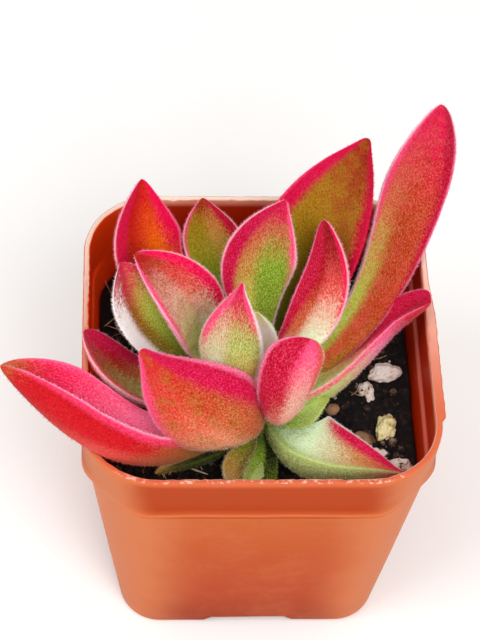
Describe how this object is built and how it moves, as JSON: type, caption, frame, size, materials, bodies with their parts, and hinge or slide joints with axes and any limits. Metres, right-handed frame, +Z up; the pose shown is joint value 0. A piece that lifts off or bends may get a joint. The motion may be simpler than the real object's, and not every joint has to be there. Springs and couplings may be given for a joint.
{
  "type": "potted ruby slippers echeveria",
  "caption": "Small rosette succulent with velvety red-edged leaves on a short stem, growing in peat soil in a square tapered nursery pot with a collar and drain holes.",
  "frame": {"origin": "middle of the pot's underside, on the plane that it stands on", "axes": "+Z up, -Y towards the pictured front, +X to the right as seen from the front"},
  "size_m": [0.0767, 0.06, 0.0894],
  "materials": {
    "pot": "thin moulded polypropylene, terracotta colour, faint sheen",
    "soil": "damp crumbly peat mix, matt",
    "perlite": "porous expanded rock, chalky",
    "bark": "weathered bark chip, matt",
    "stem": "fleshy green stem, downy",
    "leaf": "fleshy leaf under short white hairs, red edges and tips over green"
  },
  "bodies": {
    "root": {"pot": "pot", "soil": "soil", "perlite_right_back": "perlite", "perlite_right_back_small": "perlite", "perlite_cream": "perlite", "perlite_right_front": "perlite", "perlite_right_front_small": "perlite", "bark_chip": "bark", "bark_chip_small": "bark", "stem": "stem", "leaf_bud": "leaf", "leaf_back_inner": "leaf", "leaf_center": "leaf", "leaf_left_inner": "leaf", "leaf_front_spoon": "leaf", "leaf_back_left": "leaf", "leaf_right_inner": "leaf", "leaf_left": "leaf", "leaf_back_tall": "leaf", "leaf_back": "leaf", "leaf_small_right": "leaf", "leaf_front_left": "leaf", "leaf_right": "leaf", "leaf_left_low": "leaf", "leaf_right_tall": "leaf", "leaf_front_right": "leaf", "leaf_left_over_rim": "leaf", "leaf_front_low": "leaf", "leaf_front_shaded": "leaf", "leaf_soil_left": "leaf"}
  },
  "joints": []
}
